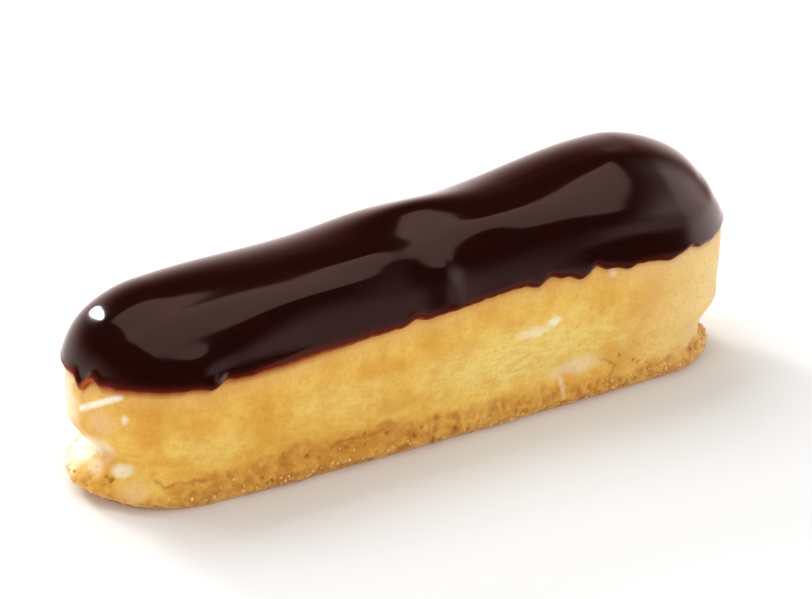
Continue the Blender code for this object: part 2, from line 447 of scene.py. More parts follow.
def section(row):
    """Shares of the half width and of the height at each row, from -1, mid base, to 1, the ridge."""
    turn = np.clip((row - FOOT_ROW) / -FOOT_ROW, 0, 1) * np.pi / 2
    foot_across = BASE_SHARE + (1 - BASE_SHARE) * np.sin(turn)
    foot_up = FOOT_SHARE * (1 - np.cos(turn))
    base_across = BASE_SHARE * (row + 1) / (FOOT_ROW + 1)
    wall_up = FOOT_SHARE + (SHOULDER_SHARE - FOOT_SHARE) * row / SHOULDER_ROW
    turn = np.clip((row - SHOULDER_ROW) / (1 - SHOULDER_ROW), 0, 1) * np.pi / 2
    dome_across = np.maximum(np.cos(turn), 0.0) ** (2 / DOME_POWER)
    dome_up = SHOULDER_SHARE + (1 - SHOULDER_SHARE) * np.sin(turn) ** (2 / DOME_POWER)
    parts = [row <= FOOT_ROW, row <= 0, row <= SHOULDER_ROW]
    across = np.select(parts, [base_across, foot_across, 1.0 + 0 * row], dome_across)
    height = np.select(parts, [0 * row, foot_up, wall_up], dome_up)
    return across, height


def track(end_steps, side_steps):
    """Columns round the finger: the centre's x, and the outward direction along X and across."""
    turn = np.linspace(-np.pi / 2, np.pi / 2, end_steps, endpoint=False)
    slide = np.linspace(TRACK_SPAN, -TRACK_SPAN, side_steps, endpoint=False)
    x = np.concatenate([np.full(end_steps, TRACK_SPAN), slide, np.full(end_steps, -TRACK_SPAN), -slide])
    nil = np.zeros(side_steps)
    facing = np.concatenate([np.cos(turn), nil, -np.cos(turn), nil])
    across = np.concatenate([np.sin(turn), nil + 1, -np.sin(turn), nil - 1])
    return x[:, None], facing[:, None], across[:, None]


def wall_out(facing, z):
    """How far out the wall stands at a height. The side's profile blends into those of the ends."""
    share = z / PROFILE_TOP
    side = curve(WALL_OUT["side"], share)
    end = np.where(facing < 0, curve(WALL_OUT["left"], share), curve(WALL_OUT["right"], share))
    return MM * (side + (end - side) * np.abs(facing) ** END_BLEND)


print("track once round in mm:", round((4 * TRACK_SPAN + 2 * math.pi * END_REACH) / MM, 1))

# %% [markdown]
# The crust isn't smooth: it has broad lumps, a craggy foot where the dough met the tray, and a
# shallow hollow in the front wall where the dough stretched as it rose. A noise that depends only on
# the place gives the same lumps on every run, and the same ones as in the solids.

# %% The crust
LUMP_SIZE = 7.0 * MM
LUMP_HEIGHT = 0.2 * MM
CRAG_SIZE = 2.4 * MM
CRAG_HEIGHT = 0.4 * MM
CRAG_TOP = 3.2 * MM
CRAG_FADE = (0.7, 1.3)
UPWARD_FROM = 0.4
STRETCH_MIDDLE = (9.0 * MM, 6.3 * MM)
STRETCH_HALF_SIZE = (12.0 * MM, 3.4 * MM)
STRETCH_DEPTH = 0.3 * MM


def lumps(points, size):
    """Smooth noise from about -1 to 1 at every point, with lumps of the given size."""
    flat = (points.reshape(-1, 3) / size).tolist()
    return np.array([noise.noise(Vector(p)) for p in flat]).reshape(points.shape[:-1])


def crust(x_centre, facing, across_facing, row, relief=1.0):
    """Points of the baked crust, column by column and row by row. relief 0 leaves it smooth."""
    across, height = section(row)
    z = height * along(HEIGHTS, x_centre + END_REACH * facing * across)
    reach = (END_REACH + wall_out(facing, z)) * across
    x = x_centre + reach * facing
    y = reach * across_facing * along(HALF_WIDTHS, x_centre) / END_REACH
    y = y + BOW * (1 - (2 * x / LENGTH) ** 2)
    points = np.stack(np.broadcast_arrays(x, y, z), -1)
    crag_share = 1 - smoothstep(CRAG_TOP * CRAG_FADE[0], CRAG_TOP * CRAG_FADE[1], z)
    stretch = hump(STRETCH_MIDDLE[0], STRETCH_HALF_SIZE[0], x) * (y < 0)
    stretch = stretch * hump(STRETCH_MIDDLE[1], STRETCH_HALF_SIZE[1], z)
    out = LUMP_HEIGHT * lumps(points, LUMP_SIZE) - STRETCH_DEPTH * stretch
    out += CRAG_HEIGHT * lumps(points, CRAG_SIZE) * crag_share
    out *= smoothstep(FOOT_ROW, 0.0, row) * relief
    outward = np.stack(np.broadcast_arrays(facing * across, across_facing * across,
                                           np.maximum(height - UPWARD_FROM, 0.0)), -1)
    outward /= np.linalg.norm(outward, axis=-1, keepdims=True) + 1e-9
    return points + BOX_SHIFT + outward * out[..., None]


def normals_of(points):
    """Outward normals of a grid of points that is closed round its columns."""
    round_it = np.roll(points, -1, 0) - np.roll(points, 1, 0)
    up_it = np.gradient(points, axis=1)
    normal = np.cross(round_it, up_it)
    normal /= np.linalg.norm(normal, axis=-1, keepdims=True) + 1e-12
    return normal


# %% [markdown]
# ## The icing's edge
#
# Dipping leaves an edge that wanders: it steps up where the crust was dry and hangs down in small
# drips. The edge is a height above the floor for every place round the finger. The steps that show
# at the front and at the left end have places of their own, and the back, which the photograph
# hides, gets random ones of the same size.

# %% Where the icing ends
EDGE_HEIGHTS = np.array([12.6, 12.55, 12.9, 13.4, 13.85, 14.35, 14.0, 13.5, 14.0]) * MM
EDGE_WAVE_SIZE = 5.0 * MM
EDGE_WAVE_HEIGHT = 0.5 * MM
EDGE_RIPPLE_SIZE = 1.1 * MM
EDGE_RIPPLE_HEIGHT = 0.12 * MM

# Each step is its place, its rise and its half width, in mm. Those at the left end go by the place
# across the finger, the others by the place along it.
FRONT_STEPS = [
    (-27.0, -0.25, 1.5), (-25.2, 0.3, 1.3), (-4.2, 0.3, 1.3),
    (9.9, -0.35, 1.3), (11.8, 0.3, 1.3), (15.0, -0.4, 1.5), (17.0, 0.45, 1.3),
    (20.7, -0.3, 1.5), (25.6, -0.25, 1.8), (28.4, 0.45, 1.5),
]
LEFT_END_STEPS = [(-1.2, -0.75, 0.9), (-2.6, 0.35, 1.0)]
LEFT_END = -30.0 * MM


def dome_row(height_share):
    """The row at which the dome is at a share of its height."""
    height = np.clip((height_share - SHOULDER_SHARE) / (1 - SHOULDER_SHARE), 0, 1)
    turn = np.arcsin(height ** (DOME_POWER / 2))
    return SHOULDER_ROW + (1 - SHOULDER_ROW) * turn / (np.pi / 2)


def stepped(steps, place):
    return sum(rise * MM * hump(at * MM, wide * MM, place) for at, rise, wide in steps)


def icing_edge_height(x, y):
    height = along(EDGE_HEIGHTS, x)
    steps = stepped(FRONT_STEPS, x) + stepped(LEFT_END_STEPS, y) * (x < LEFT_END)
    place = np.stack([x, y, 0 * x], -1)
    waves = EDGE_WAVE_HEIGHT * lumps(place, EDGE_WAVE_SIZE)
    ripples = EDGE_RIPPLE_HEIGHT * lumps(place, EDGE_RIPPLE_SIZE)
    return height + np.where(y < 0, steps, waves) + ripples


def edge_rows(x_centre, facing, across_facing):
    """For each column, the row at which the icing ends and its height there."""
    x = (x_centre + END_REACH * facing)[:, 0]
    y = (END_REACH * across_facing)[:, 0]
    height = icing_edge_height(x, y)
    return dome_row(height / along(HEIGHTS, x))[:, None], height[:, None]


# %% [markdown]
# ## From numbers to a mesh
#
# A grid of points becomes quads. The rows at the middle of the base and at the ridge fall together,
# so merging doubles closes both, and after that the normals are turned outwards.

# %% Make a closed mesh from a grid
MERGE_DISTANCE = 0.002 * MM


def grid_piece(name, points, values):
    """A closed mesh from a grid of points. values holds one number per point for each named mask."""
    columns, rows = points.shape[:2]
    index = np.arange(columns * rows).reshape(columns, rows)
    beside = np.roll(index, -1, 0)
    quads = np.stack([index[:, :-1], beside[:, :-1], beside[:, 1:], index[:, 1:]], -1).reshape(-1, 4)
    mesh = bpy.data.meshes.new(name)
    mesh.from_pydata(points.reshape(-1, 3).tolist(), [], quads.tolist())
    for mask, numbers in values.items():
        stored = mesh.attributes.new(mask, "FLOAT", "POINT")
        spread = np.broadcast_to(numbers, (columns, rows)).astype(np.float32)
        stored.data.foreach_set("value", spread.ravel())
    shape = bmesh.new()
    shape.from_mesh(mesh)
    bmesh.ops.remove_doubles(shape, verts=shape.verts, dist=MERGE_DISTANCE)
    bmesh.ops.recalc_face_normals(shape, faces=shape.faces)
    open_edges = sum(1 for edge in shape.edges if len(edge.link_faces) != 2)
    shape.to_mesh(mesh)
    shape.free()
    mesh.shade_smooth()
    piece = bpy.data.objects.new(name, mesh)
    bpy.context.scene.collection.objects.link(piece)
    print(name, "faces:", len(mesh.polygons), "open edges:", open_edges)
    return piece


# %% [markdown]
# ## The choux piece
#
# What changes from place to place is stored with the points as masks: pale and moist places, where
# the dough stretched or stayed wet, brown ones where it caught the heat, and clusters of pits. The
# pale mask also holds painted light: painted highlights at glints and along a wet streak, and the
# brightly lit left end. Each is a blot with a place and a size, and its border is ragged. A crack or
# a wet streak is a chain of places. Cracks also wander a little, because a straight line on a crust
# looks drawn.

# %% Places on the crust
RAGGED = 0.35
RAGGED_SIZE = 1.5 * MM
BLOT_FADE = (0.35, 1.1)

# Each blot is its middle (x, y, z), its half sizes, in mm, and its strength.
# The pale blots are partly pale dough and partly painted light: painted highlights at the glints and
# painted light on the bright left end.
PALE_AND_LIT = [
    ((-34.8, -5.5, 9.9), (0.6, 0.5, 0.6), 0.8), ((-34.6, 1.6, 4.8), (2.4, 3.4, 1.6), 1.0),
    ((-35.4, 3.2, 3.6), (3.0, 3.6, 2.6), 1.0), ((-36.8, 2.0, 9.6), (2.0, 2.8, 3.6), 0.6),
    ((-35.4, -1.6, 5.8), (2.0, 2.6, 2.4), 0.6), ((-34.5, -3.8, 3.8), (1.4, 1.6, 0.7), 0.9),
    ((-36.2, -1.0, 3.6), (1.6, 1.8, 0.9), 0.5), ((11.3, -9.7, 10.0), (1.2, 1.6, 0.55), 0.9),
    ((9.0, -9.7, 9.5), (2.8, 1.6, 0.7), 0.5), ((14.2, -9.4, 4.4), (3.0, 2.0, 1.1), 0.3),
    ((12.4, -9.5, 2.6), (0.5, 1.6, 1.6), 0.35), ((18.6, -9.6, 13.6), (0.7, 1.6, 0.7), 0.45),
]
MOIST = [
    ((-36.1, -3.2, 9.0), (2.0, 1.9, 1.7), 0.9), ((-34.1, -5.9, 2.3), (1.8, 1.8, 1.4), 0.8),
    ((14.0, -9.4, 4.2), (3.6, 2.0, 1.3), 0.5), ((34.0, -6.0, 12.0), (3.0, 4.0, 3.0), 0.4),
]
STRETCHED = [
    ((8.0, -9.5, 7.2), (15.0, 3.0, 4.2), 1.0), ((-12.0, -9.5, 8.0), (8.0, 3.0, 2.2), 0.45),
    ((31.0, -8.0, 8.0), (5.0, 5.0, 5.0), 0.5), ((-28.0, -9.0, 6.0), (7.0, 3.0, 2.0), 0.4),
]
BROWNED = [
    ((-32.0, -7.5, 9.8), (4.2, 3.0, 2.8), 0.45), ((-13.0, -9.3, 2.6), (10.0, 3.0, 1.9), 0.9),
    ((-7.5, -9.5, 5.6), (2.2, 2.0, 1.2), 0.5), ((20.0, -9.6, 3.4), (2.6, 2.0, 1.4), 0.6),
    ((-30.8, -8.0, 2.6), (1.8, 1.6, 0.7), 0.9), ((-28.4, -8.6, 3.1), (1.3, 1.6, 0.25), 0.9),
    ((-34.5, -4.6, 1.9), (2.0, 2.0, 0.6), 0.8), ((9.0, -9.7, 2.2), (4.0, 2.0, 0.8), 0.5),
    ((-24.0, -9.2, 2.2), (3.0, 2.0, 1.4), 0.4),
]
PITTED = [
    ((-36.2, -2.2, 2.7), (2.0, 3.2, 1.0), 1.0), ((-33.7, -4.2, 4.2), (1.2, 1.2, 0.9), 0.8),
    ((20.3, -9.6, 3.6), (4.2, 2.0, 2.0), 1.0), ((0.5, -9.7, 2.8), (3.2, 2.0, 1.4), 0.8),
    ((-28.6, -8.5, 2.8), (1.6, 1.5, 0.9), 0.8), ((-36.4, 2.5, 8.0), (1.5, 2.5, 2.0), 0.7),
    ((-12.0, -9.3, 2.2), (10.0, 3.0, 1.6), 0.5),
]

# A crack or a wet streak is a chain of places. The wet streak is painted near white, a painted
# highlight.
CRACKS = [
    [(-32.3, -6.8, 3.5), (-32.1, -7.3, 3.1), (-31.8, -7.5, 2.7), (-31.4, -7.6, 2.9),
     (-30.9, -7.7, 3.1), (-30.0, -8.1, 3.1), (-29.0, -8.4, 3.2), (-28.0, -8.6, 3.0)],
    [(17.2, -9.6, 4.3), (18.3, -9.5, 3.9), (18.9, -9.5, 3.2), (18.4, -9.6, 2.4)],
    [(-14.5, -9.4, 2.9), (-12.6, -9.4, 3.3), (-10.6, -9.4, 3.2), (-8.4, -9.5, 3.6)],
]
LEFT_CRACKS = [
    [(-35.9, 0.8, 2.2), (-36.1, -0.6, 2.0), (-36.0, -1.8, 2.3), (-35.6, -2.9, 2.1), (-35.0, -3.9, 2.0)],
    [(-36.6, -1.4, 3.9), (-36.4, -2.2, 3.6), (-36.2, -2.7, 3.9)],
]
WET_HIGHLIGHT_STREAKS = [[(-36.9, -0.8, 9.8), (-36.5, -2.3, 10.6), (-36.0, -3.5, 11.3), (-34.9, -4.9, 12.1)]]
CRACK_HALF_WIDTH = 0.2 * MM
STREAK_HALF_WIDTH = 0.45 * MM
CHAIN_CORE = 0.3
WANDER = 0.22 * MM
WANDER_SIZE = 0.7 * MM

# A chain is followed as it looks from one side, so the depth counts for less than the rest.
FROM_THE_FRONT = (1.0, 0.3, 1.0)
FROM_THE_LEFT = (0.3, 1.0, 1.0)


def blots(points, places):
    """The strongest of a list of blots at each point, from 0 to 1."""
    border = 1 + RAGGED * lumps(points, RAGGED_SIZE)
    total = 0.0 * points[..., 0]
    for middle, half_sizes, strength in places:
        away = np.linalg.norm((points / MM - middle) / half_sizes, axis=-1) * border
        total = np.maximum(total, strength * (1 - smoothstep(*BLOT_FADE, away)))
    return total


def chained(points, chains, half_width, weights):
    """1 along each chain of places, and 0 beyond half_width. A low weight ignores depth."""
    nearest = np.full(points.shape[:-1], 1.0)
    points = points * weights
    for chain in chains:
        places = np.array(chain) * MM * weights
        for start, step in zip(places, np.diff(places, axis=0)):
            share = np.clip((points - start) @ step / (step @ step), 0, 1)
            gap = np.linalg.norm(points - start - share[..., None] * step, axis=-1)
            nearest = np.minimum(nearest, gap)
    return 1 - smoothstep(CHAIN_CORE * half_width, half_width, nearest)


# %% [markdown]
# The choux is one closed mesh, from the middle of the base up the wall and over to the ridge. Its
# rows are spread so that the wall, which shows, gets the finest mesh, and the dome under the icing
# gets a coarse one. More masks follow from the heights of the foot and of the icing's edge: the
# browned foot, the bare crust, the tan band below the icing and a darker band right under its edge.

# %% Rows of the choux
CHOUX_END_STEPS = 150
CHOUX_SIDE_STEPS = 280
CHOUX_ROWS = {"base": 6, "foot": 17, "wall": 52, "edge": 25, "dome": 8}
EDGE_SHARE = 0.42

choux_track = track(CHOUX_END_STEPS, CHOUX_SIDE_STEPS)
choux_rows = np.concatenate([
    np.linspace(-1.0, FOOT_ROW, CHOUX_ROWS["base"], endpoint=False),
    np.linspace(FOOT_ROW, 0.0, CHOUX_ROWS["foot"], endpoint=False),
    np.linspace(0.0, SHOULDER_ROW, CHOUX_ROWS["wall"], endpoint=False),
    SHOULDER_ROW + (1 - SHOULDER_ROW) * np.linspace(0.0, EDGE_SHARE, CHOUX_ROWS["edge"], endpoint=False),
    SHOULDER_ROW + (1 - SHOULDER_ROW) * np.linspace(EDGE_SHARE, 1.0, CHOUX_ROWS["dome"]),
])[None, :]
choux_points = crust(*choux_track, choux_rows)
choux_x, choux_y, choux_z = np.moveaxis(choux_points, -1, 0)
print("points of the choux:", choux_x.size)

# %% Build the choux
# How dark the band right under the icing's edge is, and FOOT_TOP, in mm, go in even steps from the
# left end to the right one. Places that are pale or moist are skinned over, so the crumb and the
# pits fade there. The pale places include the painted highlights and the painted light on the left
# end.
UNDER_ICING = 1.0 * MM
NEAR_ICING = (2.4 * MM, 0.2 * MM)
UNDER_EDGE = [1.0, 1.0, 0.9, 0.4, 0.35, 0.55, 0.5, 0.5, 0.9]
UNDER_EDGE_REACH = 0.6 * MM
FOOT_TOP = [2.4, 3.3, 4.3, 4.2, 3.4, 3.2, 3.0, 3.3, 4.0]
FOOT_WAVES = [(1.1, 4.0 * MM), (0.6, 1.5 * MM)]
FOOT_FADE = (0.9 * MM, 0.4 * MM)
# The right end's paler tone is painted light shining through the thin crust from behind.
BACKLIT_FAR_END = (16.0 * MM, 34.0 * MM)
BACKLIT_OFF_FOOT = 0.7
SKINNED_OVER = 0.75
CRACK_SHARE = 0.6

choux_edge = edge_rows(*choux_track)[1]
bare = 1 - smoothstep(choux_edge, choux_edge + UNDER_ICING, choux_z)
foot_top = along(FOOT_TOP, choux_x)
for rise, wide in FOOT_WAVES:
    foot_top = foot_top + rise * lumps(choux_points, wide)
foot_top = foot_top * MM
foot = 1 - smoothstep(foot_top - FOOT_FADE[0], foot_top + FOOT_FADE[1], choux_z)
near_icing = smoothstep(choux_edge - NEAR_ICING[0], choux_edge - NEAR_ICING[1], choux_z)
wandering = choux_points + WANDER * lumps(choux_points, WANDER_SIZE)[..., None]
cracked = chained(wandering, CRACKS, CRACK_HALF_WIDTH, FROM_THE_FRONT) * (choux_y < 0)
# The wet streak, painted near white as a painted highlight.
wet_highlight_streak = chained(choux_points, WET_HIGHLIGHT_STREAKS, STREAK_HALF_WIDTH, FROM_THE_LEFT) * (choux_x < 0)
left_cracked = chained(wandering, LEFT_CRACKS, CRACK_HALF_WIDTH, FROM_THE_LEFT) * (choux_x < 0)
cracked = np.maximum(cracked, left_cracked)
moist = blots(choux_points, MOIST)
# Pale dough together with painted light: the glints, the wet streak's highlight and the lit left end.
pale_and_lit = np.maximum(blots(choux_points, PALE_AND_LIT), wet_highlight_streak)
closed = 1 - SKINNED_OVER * np.maximum(pale_and_lit, moist)
# A darker band right under the icing's edge, stronger towards the ends.
under_edge = smoothstep(choux_edge - UNDER_EDGE_REACH, choux_edge, choux_z) * along(UNDER_EDGE, choux_x)
choux = grid_piece("choux_crust", choux_points, {
    "foot": foot * bare * closed, "bare": bare, "near_icing": near_icing, "under_edge": under_edge,
    "pale_and_lit": pale_and_lit, "moist": moist, "cracked": cracked * CRACK_SHARE,
    "stretched": blots(choux_points, STRETCHED), "browned": blots(choux_points, BROWNED),
    "pitted": blots(choux_points, PITTED) * closed,
    "backlit_far_end": smoothstep(*BACKLIT_FAR_END, choux_x) * (1 - BACKLIT_OFF_FOOT * foot)})

# %% [markdown]
# ## Relief by Geometry Nodes
#
# Pores, grain and crags follow the surface by a rule, so a Geometry Nodes tree moves each point
# along its normal. Its sizes are named inputs. The result is turned into a plain mesh, because the
# export keeps meshes and not modifiers.

# %% Build and run a Geometry Nodes tree
def geometry_tree(name, sizes):
    """A Geometry Nodes group with a geometry in and out, and a named input for each size."""
    group = bpy.data.node_groups.new(name, "GeometryNodeTree")
    sockets = group.interface
    sockets.new_socket("Geometry", in_out="INPUT", socket_type="NodeSocketGeometry")
    sockets.new_socket("Geometry", in_out="OUTPUT", socket_type="NodeSocketGeometry")
    for size, value in sizes.items():
        sockets.new_socket(size, in_out="INPUT", socket_type="NodeSocketFloat").default_value = value
    tree = Tree(group.nodes, group.links)
    entry = tree.add("NodeGroupInput")
    return group, tree, entry


def applied(piece, group, sizes):
    """Runs a tree on a piece and keeps the outcome as a plain mesh."""
    modifier = piece.modifiers.new(group.name, "NODES")
    modifier.node_group = group
    for item in group.interface.items_tree:
        if item.in_out == "INPUT" and item.name in sizes:
            modifier[item.identifier] = sizes[item.name]
    view = bpy.context.evaluated_depsgraph_get()
    mesh = bpy.data.meshes.new_from_object(piece.evaluated_get(view))
    piece.modifiers.remove(modifier)
    old = piece.data
    piece.data = mesh
    bpy.data.meshes.remove(old)
    mesh.name = piece.name
    print(piece.name, "after", group.name, "has", len(mesh.polygons), "faces")

# %% [markdown]
# The foot sat on the tray and browned there: it is rough crumb, with pits from pinpricks to half a
# millimetre. The skin above it is closed, with a fine grain, a few pits and faint slanting marks
# where it stretched. Voronoi cells make round pits, and stretched noise makes the marks. How deep a
# pit, a crack or a hollow in the crumb is goes to the finish too, as a mask, and the finish paints
# shade into them.

# %% Helpers for the relief
CRUST_RELIEF = {
    "Pit Size": 0.8 * MM, "Pit Depth": 0.24 * MM,
    "Crumb Size": 0.6 * MM, "Crumb Height": 0.17 * MM,
    "Crag Size": 1.7 * MM, "Crag Height": 0.36 * MM,
    "Grain Size": 0.5 * MM, "Grain Height": 0.05 * MM,
    "Swell Size": 2.4 * MM, "Swell Height": 0.16 * MM,
}
relief_group, relief, given = geometry_tree("crust_relief", CRUST_RELIEF)


def mask(tree, name):
    return tree.add("GeometryNodeInputNamedAttribute", {"data_type": "FLOAT"}, {"Name": name})[0]


def relief_place(size_name, stretch_by=UNSTRETCHED):
    """Position in units of a named size."""
    position = relief.add("GeometryNodeInputPosition")[0]
    return scaled(relief, position, 1.0 / given[size_name], stretch_by)


def relief_noise(size_name, stretch_by=UNSTRETCHED, detail=2.0):
    """Noise from about -1 to 1."""
    values = {"Vector": relief_place(size_name, stretch_by), "Scale": 1.0, "Detail": detail,
              "Roughness": NOISE_ROUGHNESS}
    return (relief.add("ShaderNodeTexNoise", {}, values)["Fac"] - 0.5) * 2.0


PIT_WOBBLE = (0.5, 0.5, 0.5)
WOBBLE_SCALE = 2.5
SMALLEST_PIT = 0.16
PIT_SPREAD = 0.26
PIT_SLOPE = 0.16
PICK_FADE = 0.06


def relief_pits(size_name, seldom):
    """1 in the middle of a pit and 0 between pits. A random number for each cell picks those used."""
    place = relief_place(size_name)
    wobble = relief.add("ShaderNodeTexNoise", {}, {"Vector": place, "Scale": WOBBLE_SCALE})
    vector = relief.add("ShaderNodeVectorMath", {"operation": "MULTIPLY_ADD"},
                        [wobble["Color"], PIT_WOBBLE, place])[0]
    cells = relief.add("ShaderNodeTexVoronoi", {"feature": "F1"}, {"Vector": vector, "Scale": 1.0})
    random = relief.add("ShaderNodeSeparateXYZ", {}, [cells["Color"]])
    reach = SMALLEST_PIT + random["Y"] * PIT_SPREAD
    picked = (random["X"] - seldom).step(0.0, PICK_FADE)
    return (reach - cells["Distance"]).step(0.0, PIT_SLOPE) * picked


# %% [markdown]
# The heights are summed and each point is moved by the sum. At the very base the relief fades out,
# so that the pastry stands flat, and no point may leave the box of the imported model.

# %% Crumb, pits and grain of the crust
CELL_MIDDLE = 0.45
BASE_FADE = (0.1 * MM, 0.7 * MM)
SELDOM = 0.975

foot_mask = mask(relief, "foot")
bare_mask = mask(relief, "bare")
seldom = SELDOM - foot_mask * 0.25 - mask(relief, "pitted") * 0.6
pits = relief_pits("Pit Size", seldom) * bare_mask
pits = pits.at_least(mask(relief, "cracked"))
crumb_cells = relief.add("ShaderNodeTexVoronoi", {"feature": "SMOOTH_F1"},
                         {"Vector": relief_place("Crumb Size"), "Scale": 1.0})["Distance"]
crumb = (CELL_MIDDLE - crumb_cells) * 2.0 * given["Crumb Height"]
crags = relief_noise("Crag Size", detail=4.0)
grain = relief_noise("Grain Size") * given["Grain Height"]
swell = relief_noise("Swell Size", (1.0, 1.0, 0.5)) * given["Swell Height"]
height = foot_mask * (crumb + crags * given["Crag Height"]) + bare_mask * (grain + swell)
height = height - pits * given["Pit Depth"]
position = relief.add("GeometryNodeInputPosition")[0]
level = relief.add("ShaderNodeSeparateXYZ", {}, [position])["Z"]
height = height * level.step(*BASE_FADE)
# Where the crumb dips, for the painted shade in its hollows.
hollow_shade = crumb_cells.step(0.3, 0.62) * 0.6 + crags.step(0.0, -0.35) * 0.6
# The pits with the cracks, and the hollows, are stored as masks, and the finish paints shade into them.
kept = given["Geometry"]
for stored, amount in (("pit_shade", pits), ("hollow_shade", hollow_shade * foot_mask)):
    kept = relief.add("GeometryNodeStoreNamedAttribute", {"data_type": "FLOAT", "domain": "POINT"},
                      {"Geometry": kept, "Name": stored, "Value": amount})[0]
offset = relief.add("ShaderNodeVectorMath", {"operation": "SCALE"},
                    {"Vector": relief.add("GeometryNodeInputNormal")[0], "Scale": height})[0]
place = relief.add("ShaderNodeVectorMath", {"operation": "ADD"}, [position, offset])[0]
for operation, corner in (("MAXIMUM", CAD_BOX[0]), ("MINIMUM", CAD_BOX[1])):
    place = relief.add("ShaderNodeVectorMath", {"operation": operation}, [place, tuple(corner)])[0]
moved = relief.add("GeometryNodeSetPosition", {}, {"Geometry": kept, "Position": place})[0]
realized = relief.add("GeometryNodeRealizeInstances", {}, [moved])[0]
finished = relief.add("GeometryNodeSetMaterial", {}, {"Geometry": realized, "Material": baked})[0]
relief.add("NodeGroupOutput", {}, [finished])
applied(choux, relief_group, CRUST_RELIEF)

# %% [markdown]
# ## The icing
#
# The icing is a skin over the crust, about a millimetre thick, that thins to a rounded lip. It
# levels itself as it sets, so it hides the crust's small lumps, but it also sags into long swells.
# Those bend the reflections, so the ones that show have places of their own. Another row of them
# lies along the back edge of the ridge and at the two ends, where they set the pastry's top line.
# Faint noise does the rest.

# %% Swells of the icing
# Each swell is its place along in mm, its place over from the top towards the front in degrees, its
# half length in mm, its half width in degrees and its rise in mm.
SWELLS = [
    (-29.8, 20, 9, 22, -0.6),
    (-28.3, 59, 1.9, 7, 0.52),
    (-26.8, 54, 6.9, 8, 0.57),
    (-25.7, 26, 8.1, 7, 0.12),
    (-22, 47, 4.8, 11, 0.28),
    (-15.4, 37, 8.2, 10, 0.43),
    (-6.1, 25, 5.5, 7, 0.25),
    (-0.6, 55, 1.9, 18, 0.42),
    (0.5, 36, 7.8, 22, -0.54),
    (1.8, -7, 5.6, 13, 0.55),
    (6.9, 23, 4.1, 7, 0.21),
    (14.6, 33, 6.1, 13, 0.42),
    (19.9, 44, 8.6, 8, 0.62),
    (23.9, 9, 1.9, 8, 0.08),
    (-23, -32, 11, 16, 0.2),
    (-2, -30, 6, 18, 0.45),
    (15, -30, 7, 16, 0.22),
    (27, -30, 8, 18, 0.33),
    (34, -15, 3.5, 30, 0.65),
    (37.5, 0, 3, 50, -0.45),
    (-37.5, 0, 3, 50, -0.2),
]
AXIS_HEIGHT = 9.0 * MM
RIPPLE_SIZE = 7.0 * MM
RIPPLE_HEIGHT = 0.03 * MM


def swell_height(points):
    """How far the swells raise the icing at each point."""
    x, y, z = np.moveaxis(points, -1, 0)
    over = np.degrees(np.arctan2(-y, z - AXIS_HEIGHT))
    height = RIPPLE_HEIGHT * lumps(points, RIPPLE_SIZE)
    for x_middle, over_middle, half_length, half_width, rise in SWELLS:
        along_share = (x / MM - x_middle) / half_length
        over_share = (over - over_middle) / half_width
        height = height + rise * MM * np.exp(-along_share ** 2 - over_share ** 2)
    return height


# %% [markdown]
# A skin has an outer and an inner side that meet at the lip. Both start from the crust. The inner
# side lies on it, and the outer one is raised along the normals by the thickness, with the crust's
# relief left out a little way up from the lip. The rows crowd towards the edge, where the lip turns.
# A mask for the finish is full at the lip and fades above it. It is weaker towards the right end,
# where the lip is darker, and full again at three thin places near the left end.

# %% Sizes of the icing
# LIP_THICKNESS and RIM_STRENGTH go in even steps from the left end to the right one.
ICING_THICKNESS = 1.3 * MM
LIP_THICKNESS = np.array([0.8, 1.15, 0.65, 0.5, 0.5, 0.5, 0.5, 0.5, 0.6]) * MM
LIP_REACH = 0.45 * MM
THICK_REACH = 3.4 * MM
LEVEL_REACH = 1.2 * MM
INNER_GAP = 0.02 * MM
RIM_FADE = 0.75 * MM
LIP_SHARE = 0.75
RIM_STRENGTH = [1.0, 1.0, 0.95, 0.8, 0.7, 0.62, 0.62, 0.62, 0.62]
THIN_PLACES = [
    ((-36.7, -2.3, 12.7), (1.4, 1.4, 1.3), 0.9), ((-35.3, -4.6, 12.5), (1.6, 1.5, 0.8), 0.75),
    ((-25.9, -9.2, 12.7), (0.6, 1.2, 0.8), 0.9),
]
ICING_END_STEPS = 112
ICING_SIDE_STEPS = 216
OUTER_ROWS = 66
INNER_ROWS = 16
OUTER_CROWDING = 1.5
INNER_CROWDING = 1.3

icing_track = track(ICING_END_STEPS, ICING_SIDE_STEPS)
edge_row = edge_rows(*icing_track)[0]
outer_share = np.linspace(0.0, 1.0, OUTER_ROWS)[None, :] ** OUTER_CROWDING
inner_share = np.linspace(0.0, 1.0, INNER_ROWS)[None, :] ** INNER_CROWDING


def climbed(points):
    """The way from a grid's first row to each point, along its column."""
    steps = np.linalg.norm(np.diff(points, axis=1), axis=-1)
    return np.concatenate([np.zeros((len(points), 1)), np.cumsum(steps, 1)], 1)


def icing_layer(share, relief):
    """The crust under the icing, its outward normals, and the way up from the edge."""
    points = crust(*icing_track, edge_row + (1 - edge_row) * share, relief)
    normal = normals_of(points)
    normal[:, -1] = (0.0, 0.0, 1.0)
    return points, normal, climbed(points)


